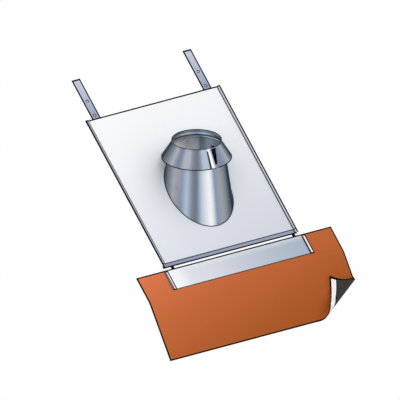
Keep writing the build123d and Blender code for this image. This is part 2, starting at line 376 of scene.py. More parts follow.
class Tone(Enum):
    """The greys and blues of bright sheet steel, used mostly for its painted reflections, highlights and
    shade.
    """

    NIGHT = "#2F3944"
    SLATE = "#677481"
    LEAD = "#8A929A"
    IRON = "#73767B"
    PEWTER = "#A2A3A8"
    ASH = "#B0B3BB"
    STEEL = "#7D88A0"
    BLUE = "#8A9AB3"
    PALE = "#B4C2D2"
    SILVER = "#E0E5EC"
    WHITE = "#F9FAFD"


Bands = Sequence[tuple[float, Tone]]


@dataclass(frozen=True)
class PlateSteel(Finish):
    """Satin sheet steel of the base plate, with its folds and its lip."""

    # Painted light: the sheet is lighter at the top left and darker towards the bottom right.
    body: Stops = ((0.0, "#FEFEFE"), (0.3, "#F9FBFE"), (0.55, "#EEF1F7"), (0.85, "#DCE0E9"), (1.0, "#D5D9E3"))
    fall_down: float = 0.75
    half_width: float = 0.322
    above: float = 0.403
    below: float = 0.297
    fold_width: float = 0.013
    fold_height: float = 0.005
    fold_depth: float = 0.0007
    fold_slack: float = 0.0004
    wall_half: float = 0.0005
    wall_from: float = 0.0012
    left_fold_line: float = 0.0039
    right_fold_line: Mark = Mark(0.0014, 0.0019)
    side_edge: float = 0.0055
    right_extra: float = 0.0018
    top_edge: float = 0.0063
    lip_bend: Mark = Mark(-0.0009, 0.0023)
    lip_inset: float = 0.0015
    lip_top: float = 0.0035
    lip_dark_from: float = -0.0041
    # Painted shade on the left fold's top and painted light on the right fold's top.
    fold_left_shaded: str = "#AEB3C6"
    fold_right_lit: str = "#CDD1DC"
    fold_wall: str = "#ECECF6"
    # Painted shade on the lip, which is painted darker than the plate.
    lip: Stops = ((0.0, "#8E9AB4"), (0.5, "#96A3B9"), (1.0, "#9BA8BC"))
    # The colour of the painted shade lines along bends and cut edges.
    bend: str = "#0A0C10"

    def lay(self, paint: Paint) -> None:
        """Paints light and shade on the sheet from corner to corner, on its folds and on its lip, paints
        shade lines along bends and cut edges, and adds rolling marks.
        """
        x, up, off = paint.roof_place()
        side, right = abs(x), x > 0.0
        inner = self.half_width - self.fold_width
        across = (x + self.half_width) / (2 * self.half_width)
        down = (self.above - up) / (self.above + self.below)
        colour = paint.ramp(down * self.fall_down + across * (1.0 - self.fall_down), self.body)
        wall = paint.line(side, inner, self.wall_half) * (off > self.wall_from)
        colour = paint.blend(wall, colour, tone(self.fold_wall))
        # Painted light and shade on the fold tops: darker on the left, lighter on the right.
        on_fold = (side > inner - self.fold_slack) * (off > self.fold_height - self.fold_depth)
        colour = paint.blend(on_fold, colour, paint.blend(right, tone(self.fold_left_shaded), tone(self.fold_right_lit)))
        # Painted shade on the lip.
        on_lip = (up < -self.below) * (side < self.half_width - self.lip_inset) * (off < self.lip_top)
        colour = paint.blend(on_lip, colour, paint.ramp(across, self.lip))
        # Painted shade lines along the fold bends, the side and top edges and the lip's bend, and painted
        # shade on the lip's lower face.
        lines = (
            (on_fold * (1.0 - right) * paint.edge(side, inner, self.left_fold_line, low=True), 0.62),
            (right * paint.mark(side, inner, self.right_fold_line), 0.92),
            (paint.edge(side + self.right_extra * right, self.half_width, self.side_edge), 1.0),
            (paint.edge(up, self.above, self.top_edge), 1.0),
            (paint.mark(up, -self.below, self.lip_bend), 0.88),
            (paint.step(off, self.lip_dark_from, self.lip_dark_from - 0.0005), 1.0),
        )
        colour = paint.ink(colour, self.bend, lines, metal=0.3)
        rolled = paint.noise(60.0, 3.0, stretch=(1.0, 0.05, 1.0), turn=-SLOPE.pitch)
        clouds = paint.noise(5.0, 3.0)
        colour = paint.scaled(colour, 0.985 + 0.03 * (rolled * 0.5 + clouds * 0.5))
        paint.feed("Base Color", colour)
        paint.feed("Roughness", 0.46 + 0.12 * clouds + 0.1 * rolled)
        paint.relief(rolled + 0.3 * paint.noise(900.0, 1.0), 0.04, 0.0004)


@dataclass(frozen=True)
class RolledSteel(Finish):
    """Bright steel rolled into a cone, with painted light and dark reflection bands along its generators."""

    # Painted reflections and shade: light and dark bands by angle round the axis, outside and inside,
    # measured from the front angle.
    outside: Bands = ()
    inside: Bands = ()
    front: float = -123.4
    waver: float = 2.0
    # Colours of the painted shade lines and of the painted shade.
    edge: str = "#1D2128"
    shade: str = "#0C0D10"
    tint: Colour = (0.25, 0.27, 0.3, 1.0)

    @staticmethod
    def around(bands: Bands) -> Stops:
        """Turns the angle of each band into its place on a ramp."""
        return tuple((angle / 360.0 + 0.5, shade.value) for angle, shade in bands)

    def lay(self, paint: Paint) -> None:
        """Paints reflection and shade bands round the metal's axis, outside and inside, and adds what the
        piece has of its own.
        """
        x, y, z = paint.place()
        c, s = cos(radians(self.front)), sin(radians(self.front))
        turn = paint.math("ARCTAN2", y * c - x * s, x * c + y * s) * (180.0 / pi)
        streaks = paint.noise(55.0, 3.0, stretch=(1.0, 1.0, 0.03))
        place = (turn + (streaks - 0.5) * self.waver) / 360.0 + 0.5
        nx, ny, _ = paint.split(paint.node("ShaderNodeNewGeometry").outputs["Normal"])
        inner = (nx * x + ny * y) < 0.0
        outside, inside = (paint.ramp(place, self.around(bands)) for bands in (self.outside, self.inside))
        colour = paint.scaled(paint.blend(inner, outside, inside), 0.96 + 0.08 * streaks)
        paint.feed("Base Color", self.details(paint, colour, turn, z, inner))
        paint.feed("Roughness", 0.22 + 0.14 * streaks)
        paint.relief(streaks, 0.03, 0.0004)
        paint.fix(Metallic=0.85, Specular_Tint=self.tint)

    def details(self, paint: Paint, colour: NodeSocket, turn: Wire, z: Wire, inner: Wire) -> NodeSocket:
        """Adds the piece's own painted lines, highlights and shade.

        Args:
            paint: The material's tree.
            colour: The colour so far.
            turn: The angle round the axis from the front, in degrees.
            z: The height.
            inner: 1 on faces that look to the axis.

        Returns:
            The colour with them.
        """
        raise NotImplementedError


@dataclass(frozen=True)
class ConeSteel(RolledSteel):
    """The cone's steel, with painted shade where the collar covers it, deep inside and across from the slot.
    """

    outside: Bands = (
        (-180.0, Tone.PEWTER), (-150.0, Tone.PALE), (-122.0, Tone.LEAD), (-92.0, Tone.NIGHT),
        (-80.0, Tone.SLATE), (-58.0, Tone.LEAD), (-45.0, Tone.ASH), (-35.0, Tone.PEWTER),
        (-28.0, Tone.BLUE), (-17.0, Tone.PALE), (-8.0, Tone.STEEL), (-2.0, Tone.IRON),
        (2.0, Tone.STEEL), (7.0, Tone.PALE), (15.0, Tone.SILVER), (23.0, Tone.WHITE),
        (27.5, Tone.SILVER), (33.5, Tone.BLUE), (46.0, Tone.PEWTER), (57.0, Tone.LEAD),
        (68.0, Tone.SLATE), (78.0, Tone.NIGHT), (104.0, Tone.LEAD), (136.0, Tone.PALE),
        (160.0, Tone.ASH), (180.0, Tone.PEWTER),
    )
    inside: Bands = (
        (-180.0, Tone.PALE), (-171.0, Tone.SILVER), (-160.0, Tone.WHITE), (-125.0, Tone.WHITE),
        (-60.0, Tone.SILVER), (60.0, Tone.PALE), (95.0, Tone.STEEL), (125.0, Tone.SLATE),
        (140.0, Tone.SLATE), (150.0, Tone.STEEL), (158.0, Tone.STEEL), (166.0, Tone.SLATE),
        (173.0, Tone.SLATE), (180.0, Tone.PALE),
    )
    rim: float = 0.176
    # Painted shade lines at the rim and the hem, and a painted highlight inside just below the rim.
    rim_edge: float = 0.0026
    glint: Mark = Mark(0.005, 0.0016)
    hem_edge: Mark = Mark(0.014, 0.001)
    # Painted shade: on the outside under the collar, deep inside, and on the inner wall across from the slot.
    collar_shadow_from: float = 0.139
    collar_shadow_full: float = 0.145
    deep_shade_from: float = 0.114
    deep_shade_full: float = 0.058
    slot_turn: float = 41.0
    slot_drop: float = 0.008
    slot_shade_from: float = 0.138
    slot_shade_full: float = 0.13

    def details(self, paint: Paint, colour: NodeSocket, turn: Wire, z: Wire, inner: Wire) -> NodeSocket:
        """Paints a highlight inside below the rim, shade lines at the rim and the hem, and shade where the
        collar covers the cone, deep inside and across from the slot, and keeps the flange plain.
        """
        # Painted highlight inside, just below the rim.
        glint = inner * paint.mark(z, self.rim, self.glint) * 0.6
        colour = paint.blend(glint, colour, tone(Tone.SILVER.value))
        # Painted shade lines at the rim's top and at the hem's lower edge inside.
        lines = paint.edge(z, self.rim, self.rim_edge, 0.0004) * 0.95
        lines = lines + inner * paint.mark(z, self.rim, self.hem_edge) * 0.6
        colour = paint.blend(lines, colour, tone(self.edge))
        # Painted shade: outside where the collar covers the cone, reaching lower beside the slot, deep
        # inside, and on the inner wall seen through the slot.
        below_slot = z + self.slot_drop * paint.line(turn, self.slot_turn, 7.0, 1.0)
        collar_shadow = (1.0 - inner) * paint.step(below_slot, self.collar_shadow_from, self.collar_shadow_full)
        deep = paint.step(z, self.deep_shade_from, self.deep_shade_full)
        slot_shade = paint.line(turn, 180.0 - self.slot_turn, 12.0, 3.0)
        slot_shade = slot_shade * paint.step(z, self.slot_shade_from, self.slot_shade_full)
        dark = collar_shadow + inner * paint.math("MAXIMUM", deep, slot_shade)
        colour = paint.blend(dark, colour, tone(self.shade))
        _, _, off = paint.roof_place()
        return paint.blend(off < -0.0001, colour, tone(Tone.ASH.value))


@dataclass(frozen=True)
class CollarSteel(RolledSteel):
    """The collar's steel, with a painted highlight and shade on the folded joint beside its slot."""

    outside: Bands = (
        (-180.0, Tone.PEWTER), (-150.0, Tone.PALE), (-122.0, Tone.LEAD), (-90.0, Tone.NIGHT),
        (-74.0, Tone.SLATE), (-58.0, Tone.LEAD), (-46.0, Tone.ASH), (-37.0, Tone.STEEL),
        (-31.0, Tone.STEEL), (-23.0, Tone.ASH), (-14.0, Tone.ASH), (-7.0, Tone.STEEL),
        (0.0, Tone.IRON), (6.0, Tone.STEEL), (12.0, Tone.PALE), (22.0, Tone.PALE),
        (36.0, Tone.LEAD), (44.0, Tone.STEEL), (56.0, Tone.BLUE), (66.0, Tone.ASH),
        (76.0, Tone.LEAD), (90.0, Tone.NIGHT), (112.0, Tone.LEAD), (140.0, Tone.PALE),
        (162.0, Tone.ASH), (180.0, Tone.PEWTER),
    )
    inside: Bands = (
        (-180.0, Tone.BLUE), (-160.0, Tone.PALE), (-120.0, Tone.SILVER), (-60.0, Tone.SILVER),
        (60.0, Tone.PALE), (120.0, Tone.PALE), (165.0, Tone.PALE), (180.0, Tone.BLUE),
    )
    rim: float = 0.20474
    rim_edge: float = 0.0032
    neck_base: float = 0.19374
    neck_line: Mark = Mark(0.0, 0.0011)
    skirt_bottom: float = 0.12874
    skirt_edge: float = 0.0036
    # Painted shadow line beside the folded joint, and a painted highlight on the joint that turns to painted
    # shade towards the slot.
    joint_shadow_line: float = 24.5
    joint_shadow_top: float = 0.002
    joint_from: float = 24.9
    joint_shade_from: float = 30.5
    joint_shade_full: float = 32.3
    joint_to: float = 35.4

    def details(self, paint: Paint, colour: NodeSocket, turn: Wire, z: Wire, inner: Wire) -> NodeSocket:
        """Paints shade lines at rim, neck and skirt edge, and a highlight, shaded towards the slot, on the
        joint beside its painted shadow line.
        """
        outer = 1.0 - inner
        # Painted highlight on the folded joint, with painted shade on its part nearest the slot.
        joint = outer * (turn > self.joint_from) * (turn < self.joint_to)
        shaded = paint.step(turn, self.joint_shade_from, self.joint_shade_full)
        colour = paint.blend(joint, colour, paint.blend(shaded, tone(Tone.WHITE.value), tone(Tone.ASH.value)))
        # Painted shadow line beside the joint, and painted shade lines at the rim, at the neck's base inside
        # and at the skirt's edge.
        below_neck = z < self.neck_base - self.joint_shadow_top
        lines = outer * paint.line(turn, self.joint_shadow_line, 1.8, 0.3) * below_neck
        lines = lines + paint.edge(z, self.rim, self.rim_edge, 0.0004)
        lines = lines + inner * paint.mark(z, self.neck_base, self.neck_line) * 0.7
        lines = lines + paint.edge(z, self.skirt_bottom, self.skirt_edge, 0.0004, low=True)
        return paint.blend(lines * 0.92, colour, tone(self.edge))


@dataclass(frozen=True)
class StrapZinc(Finish):
    """Zinc-coated strip, with spangle, and painted shade along its cut edges and round its holes."""

    spacing: float = 0.532
    width: float = 0.04
    start: float = 0.4
    end: float = 0.593
    shade_length: float = 0.2
    # Widths of the painted shade along the cut edges and round the holes.
    side_edge: float = 0.006
    end_edge: float = 0.0072
    holes: tuple[float, ...] = (0.419, 0.488)
    hole_shadow_rim: float = 0.0069
    body: Stops = ((0.0, "#94A0BC"), (0.4, "#AEBACE"), (0.7, "#BDC8D8"), (1.0, "#C8D1DE"))
    edge: str = "#0A0C10"

    def lay(self, paint: Paint) -> None:
        """Colours a strap darker towards its lower end, with painted shade at its edges and round its holes,
        and its crystals.
        """
        x, up, _ = paint.roof_place()
        inward = abs(abs(x) - self.spacing / 2)
        crystals = paint.spangle(160.0)
        colour = paint.ramp((up - self.start) / self.shade_length, self.body)
        colour = paint.scaled(colour, 0.94 + 0.12 * crystals)
        # Painted shade along the cut edges and round the holes.
        lines = [
            (paint.edge(inward, self.width / 2, self.side_edge), 1.0),
            (paint.edge(up, self.end, self.end_edge, 0.0004), 1.0),
        ]
        for centre in self.holes:
            away = up - centre
            radius = paint.math("SQRT", inward * inward + away * away)
            lines.append((paint.edge(radius, 0.0, self.hole_shadow_rim, 0.0006, low=True), 0.95))
        colour = paint.ink(colour, self.edge, lines, metal=0.6)
        paint.feed("Base Color", colour)
        paint.feed("Roughness", 0.36 + 0.14 * crystals)
        paint.relief(paint.noise(500.0), 0.05, 0.0004)


@dataclass(frozen=True)
class StripSteel(Finish):
    """Satin steel of the connector strip, with its folded sides and tabs."""

    middle: float = 0.012
    half_width: float = 0.337
    start: float = -0.32029
    length: float = 0.094
    level: float = -0.01027
    fold_width: float = 0.013
    fold_height: float = 0.005
    fold_depth: float = 0.0012
    fold_slack: float = 0.0005
    fold_start: float = 0.008
    fold_end_edge: float = 0.0035
    wall_width: float = 0.004
    left_bend: Mark = Mark(0.0027, 0.0042)
    right_bend: Mark = Mark(0.0018, 0.0026)
    left_edge: Mark = Mark(0.0056, 0.0014)
    right_edge: float = 0.0051
    top_edge: float = 0.0059
    bottom_edge: float = 0.0038
    tab_from: float = 0.0008
    shine_reach: float = 0.034
    # Painted light: the strip is lighter to the left and darker to the right.
    body: Stops = (
        (0.0, "#FCFCFE"), (0.07, "#F6F7FB"), (0.16, "#DFE2EA"), (0.3, "#D9DDE8"),
        (0.5, "#CAD0DB"), (0.75, "#B8C3D0"), (1.0, "#A9B6C6"),
    )
    # Painted highlight near the top edge.
    shine: str = "#F4F6FA"
    leg: str = "#F3F1FA"
    # Painted shade on the left fold's outer wall, and the colour of the painted shade lines.
    wall: str = "#5F6B75"
    bend: str = "#0A0C10"

    def lay(self, paint: Paint) -> None:
        """Paints light and shade on the strip, lighter to the left and near its top, with its folds, painted
        shade on the left fold's wall, shade lines along its bends and cut edges, and shade where it runs
        under the plate.
        """
        across, up, off = paint.roof_place()
        x = across - self.middle
        side, left = abs(x), x < 0.0
        right = 1.0 - left
        inner = self.half_width - self.fold_width
        # Painted light from left to right, and a painted highlight near the top edge.
        colour = paint.ramp((x + self.half_width) / (2 * self.half_width), self.body)
        shine = paint.step(up, self.start - self.shine_reach, self.start) * 0.45
        colour = paint.blend(shine, colour, tone(self.shine))
        on_strip = up < self.start
        on_fold = (off > self.level + self.fold_height - self.fold_depth) * (side > inner - self.fold_slack)
        leg = on_fold * on_strip
        colour = paint.blend(leg, colour, tone(self.leg))
        # Painted shade on the left fold's outer wall.
        wall = left * paint.edge(side, self.half_width, self.wall_width, 0.0004)
        colour = paint.blend(wall, colour, tone(self.wall))
        # Painted shade lines along the bends, the cut edges and the fold ends, and painted shade where the
        # strip runs up under the plate.
        lines = (
            (on_strip * left * paint.mark(side, inner, self.left_bend), 0.95),
            (on_strip * right * paint.mark(side, inner, self.right_bend), 0.95),
            (on_strip * left * paint.mark(side, self.half_width, self.left_edge), 0.95),
            (on_strip * right * paint.edge(side, self.half_width, self.right_edge), 1.0),
            (leg * paint.edge(up, self.start - self.fold_start, self.fold_end_edge), 0.9),
            (paint.edge(up, self.start, self.top_edge), 1.0),
            (paint.edge(up, self.start - self.length, self.bottom_edge, 0.0004, low=True), 0.9),
            (up > self.start + self.tab_from, 0.8),
        )
        colour = paint.ink(colour, self.bend, lines, metal=0.55)
        clouds = paint.noise(7.0, 3.0)
        rolled = paint.noise(60.0, 3.0, stretch=(0.05, 1.0, 1.0), turn=-SLOPE.pitch)
        paint.feed("Base Color", paint.scaled(colour, 0.985 + 0.03 * rolled))
        paint.feed("Roughness", 0.38 + 0.1 * clouds + 0.08 * rolled)
        paint.relief(rolled, 0.04, 0.0004)


@dataclass(frozen=True)
class ApronFinish(Finish):
    """A finish that follows the apron's flat pattern."""

    width: float = 0.932
    length: float = 0.37

    def rim(self, paint: Paint, across: Wire, down: Wire) -> Wire:
        """Returns 1 along all four cut edges of the flat pattern, and 0 further in."""
        from_side = (0.5 - abs(across - 0.5)) * self.width
        from_end = (0.5 - abs(down - 0.5)) * self.length
        return paint.edge(paint.math("MINIMUM", from_side, from_end), 0.0, 0.00575, 0.00045, low=True)


@dataclass(frozen=True)
class TerracottaCoat(ApronFinish):
    """Matt coloured face of the flexible apron."""

    # Painted light: lighter at the top left and darker towards the bottom right of the flat pattern.
    body: Stops = (
        (0.0, "#DE784B"), (0.2, "#CF6D3E"), (0.42, "#C16533"),
        (0.65, "#B45C27"), (0.85, "#AA551D"), (1.0, "#A34F18"),
    )
    # The colour of the painted shade along the cut edges.
    edge: str = "#120D0B"

    def lay(self, paint: Paint) -> None:
        """Paints light on the sheet over its flat pattern, lighter at the top left, paints shade along its
        cut edges and adds its fine grain and soft handling dents.
        """
        across, down = paint.flat_place()
        grain = paint.noise(1100.0)
        clouds = paint.noise(9.0, 4.0)
        colour = paint.ramp(across * 0.4 + down * 0.6 + (clouds - 0.5) * 0.05, self.body)
        # Painted shade along the cut edges.
        colour = paint.ink(colour, self.edge, [(self.rim(paint, across, down), 1.0)], metal=0.0)
        paint.feed("Base Color", paint.scaled(colour, 0.97 + 0.06 * grain))
        paint.feed("Roughness", 0.62 + 0.14 * clouds)
        paint.relief(grain + 2.0 * paint.noise(14.0), 0.12, 0.0012)
        paint.fix(Specular_IOR_Level=0.2)


@dataclass(frozen=True)
class ButylBacking(ApronFinish):
    """Black sealing layer under the apron, with the marks of its embossed film."""

    low: str = "#272727"
    high: str = "#363534"
    edge: str = "#0A0A0B"

    def lay(self, paint: Paint) -> None:
        """Varies the black a little, presses fine ripples into it and paints shade along its cut edges."""
        across, down = paint.flat_place()
        clouds = paint.noise(22.0, 3.0)
        colour = paint.blend(clouds, tone(self.low), tone(self.high))
        # Painted shade along the cut edges.
        colour = paint.ink(colour, self.edge, [(self.rim(paint, across, down), 1.0)], metal=0.0)
        paint.feed("Base Color", colour)
        paint.feed("Roughness", 0.45 + 0.2 * clouds)
        paint.relief(paint.noise(240.0) + clouds, 0.15, 0.001)
        paint.fix(Specular_IOR_Level=0.25)


@dataclass(frozen=True)
class LinerPaper(ApronFinish):
    """Smooth white release paper, slightly creased."""

    strip: float = 0.027
    strip_edge: float = 0.0042
    end_edge: float = 0.009
    low: str = "#F2EFF3"
    high: str = "#FEFDFE"
    edge: str = "#08080A"

    def rim(self, paint: Paint, across: Wire, down: Wire) -> Wire:
        """Returns 1 along both long edges of the liner and at its right end, and 0 further in."""
        half = self.strip / 2
        from_middle = abs((1.0 - down) * self.length - half)
        long_edges = paint.edge(from_middle, half, self.strip_edge, 0.0004)
        end = paint.edge((1.0 - across) * self.width, 0.0, self.end_edge, 0.0005, low=True)
        return paint.math("MAXIMUM", long_edges, end)

    def lay(self, paint: Paint) -> None:
        """Shades the paper softly, creases it and paints shade along its edges."""
        across, down = paint.flat_place()
        creases = paint.noise(35.0, 4.0)
        colour = paint.blend(paint.step(creases, 0.3, 0.62), tone(self.low), tone(self.high))
        # Painted shade along the long edges and the end.
        colour = paint.ink(colour, self.edge, [(self.rim(paint, across, down), 1.0)], metal=0.0)
        paint.feed("Base Color", colour)
        paint.feed("Roughness", 0.5 + 0.15 * creases)
        paint.relief(creases, 0.12, 0.0008)


@dataclass(frozen=True)
class SealedSeam(Finish):
    """Dull grey solder along a seam."""

    low: str = "#23262C"
    high: str = "#434952"

    def lay(self, paint: Paint) -> None:
        """Mottles the solder."""
        beads = paint.noise(260.0)
        paint.feed("Base Color", paint.blend(beads, tone(self.low), tone(self.high)))
        paint.feed("Roughness", 0.4 + 0.2 * beads)
        paint.relief(beads, 0.3, 0.0006)
        paint.fix(Metallic=0.5)


class GeometryRule(NodeSheet):
    """A geometry node tree with a named input for each of its sizes."""

    def __init__(self, name: str, sizes: dict[str, float]) -> None:
        """Makes the tree's sockets.

        Args:
            name: What the rule is called.
            sizes: The name and value of each size.
        """
        tree = bpy.data.node_groups.new(name, "GeometryNodeTree")
        tree.interface.new_socket("Geometry", in_out="INPUT", socket_type="NodeSocketGeometry")
        tree.interface.new_socket("Geometry", in_out="OUTPUT", socket_type="NodeSocketGeometry")
        self.sizes = dict(sizes)
        self.identifiers: dict[str, str] = {}
        for label in sizes:
            made = tree.interface.new_socket(label, in_out="INPUT", socket_type="NodeSocketFloat")
            self.identifiers[label] = made.identifier
        super().__init__(tree)
        self.entry = self.node("NodeGroupInput")
        self.exit = self.node("NodeGroupOutput")

    def size(self, label: str) -> Wire:
        """Returns the wire of a named size."""
        return Wire(self, self.entry.outputs[label])

    def position(self) -> tuple[Wire, Wire, Wire]:
        """Returns where each point of the geometry is."""
        return self.split(self.node("GeometryNodeInputPosition").outputs[0])

    def moved(self, geometry: NodeSocket, position: NodeSocket) -> NodeSocket:
        """Puts the geometry's points in new places."""
        sockets = {"Geometry": geometry, "Position": position}
        return self.node("GeometryNodeSetPosition", sockets=sockets).outputs[0]

    def circle(self, steps: int, radius: Operand) -> NodeSocket:
        """Adds a circle of straight steps."""
        sockets = {"Resolution": steps, "Radius": radius}
        return self.node("GeometryNodeCurvePrimitiveCircle", {"mode": "RADIUS"}, sockets).outputs[0]

    def close(self, geometry: NodeSocket, material: Material) -> None:
        """Ends the tree: real geometry with its material."""
        real = self.node("GeometryNodeRealizeInstances", sockets={0: geometry}).outputs[0]
        dressed = self.node("GeometryNodeSetMaterial", sockets={"Geometry": real, "Material": material})
        self.tree.links.new(dressed.outputs[0], self.exit.inputs[0])

    def bake(self, piece: Object) -> None:
        """Runs the rule on a piece and leaves it a plain mesh."""
        modifier = piece.modifiers.new(self.tree.name, "NODES")
        modifier.node_group = self.tree
        for label, value in self.sizes.items():
            modifier[self.identifiers[label]] = value
        graph = bpy.context.evaluated_depsgraph_get()
        mesh = bpy.data.meshes.new_from_object(piece.evaluated_get(graph))
        piece.modifiers.clear()
        piece.data = mesh


def new_piece(name: str, mesh: Mesh) -> Object:
    """Puts a mesh in the scene as an object at the origin."""
    piece = bpy.data.objects.new(name, mesh)
    bpy.context.scene.collection.objects.link(piece)
    return piece


def smooth_faces(mesh: Mesh, limit: float, outward: bool = False) -> None:
    """Shades a mesh smooth except at sharp edges.

    Args:
        mesh: The mesh to shade.
        limit: The angle in degrees from which an edge stays sharp.
        outward: Whether the faces are first made to point outwards.
    """
    shell = bmesh.new()
    shell.from_mesh(mesh)
    if outward:
        bmesh.ops.recalc_face_normals(shell, faces=shell.faces)
    for face in shell.faces:
        face.smooth = True
    for edge in shell.edges:
        edge.smooth = edge.is_manifold and edge.calc_face_angle(pi) < radians(limit)
    shell.to_mesh(mesh)
    shell.free()


def dress(node: str, finish: Finish) -> None:
    """Gives a CAD node its finish."""
    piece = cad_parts[node]
    material = finish.material()
    piece.data.materials.clear()
    piece.data.materials.append(material)
    log.info("%s dressed in %s", node, finish.name)


@dataclass
class BasePlate:
    """The folded sheet that lies on the roof."""

    node: str = "base_plate"

    def build(self) -> None:
        """Dresses the plate."""
        dress(self.node, PlateSteel("plate_satin_steel"))


@dataclass
class FlueCone:
    """The cone around the flue, and the soldered seam at its foot."""

    node: str = "cone"
    radius: float = 0.1372
    taper: float = 8.4
    plate_sheet: float = 0.0008
    seam_radius: float = 0.0017
    seam_steps: int = 220
    bead_sides: int = 8

    def build(self) -> None:
        """Dresses the cone and lays the seam."""
        dress(self.node, ConeSteel("cone_rolled_steel"))
        seam = self.seam()
        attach(seam, "root")
        log.info("%s made with %d faces", seam.name, len(seam.data.polygons))

    def seam(self) -> Object:
        """Makes the bead where the cone comes through the plate.

        Returns:
            The bead, as a plain mesh.
        """
        rule = GeometryRule(
            "seam_round_cone",
            {"Cone Radius": self.radius, "Taper": tan(radians(self.taper)), "Seam Radius": self.seam_radius},
        )
        seam_radius, taper = rule.size("Seam Radius"), rule.size("Taper")
        x, y, _ = rule.position()
        level = seam_radius * 0.5 + self.plate_sheet
        foot = rule.size("Cone Radius") + seam_radius * 0.5 - taper * level / cos(SLOPE.turn)
        reach = foot / (1.0 + taper * tan(SLOPE.turn) * y)
        height = (level + reach * y * sin(SLOPE.turn)) / cos(SLOPE.turn)
        path = rule.moved(rule.circle(self.seam_steps, 1.0), rule.join(reach * x, reach * y, height))
        profile = rule.circle(self.bead_sides, seam_radius)
        bead = rule.node("GeometryNodeCurveToMesh", sockets={0: path, 1: profile}).outputs[0]
        rule.close(bead, SealedSeam("seam_solder").material())
        piece = new_piece("cone_seam", bpy.data.meshes.new("cone_seam"))
        rule.bake(piece)
        smooth_faces(piece.data, limit=60.0, outward=True)
        return piece


@dataclass
class StormCollar:
    """The collar that sheds water over the cone's rim."""

    node: str = "storm_collar"

    def build(self) -> None:
        """Dresses the collar."""
        dress(self.node, CollarSteel("collar_rolled_steel"))


@dataclass
class Fixings:
    """The two straps and the strip that joins the apron to the plate."""

    straps: tuple[str, ...] = ("fixing_strap_left", "fixing_strap_right")
    strip: str = "apron_strip"

    def build(self) -> None:
        """Dresses the straps and the strip."""
        for strap in self.straps:
            dress(strap, StrapZinc(f"{strap}_zinc"))
        dress(self.strip, StripSteel("strip_satin_steel"))


class Layer(Enum):
    """The apron's layers, from its top face down."""

    COAT = "apron_sheet"
    BACKING = "apron_backing"
    LINER = "release_liner"


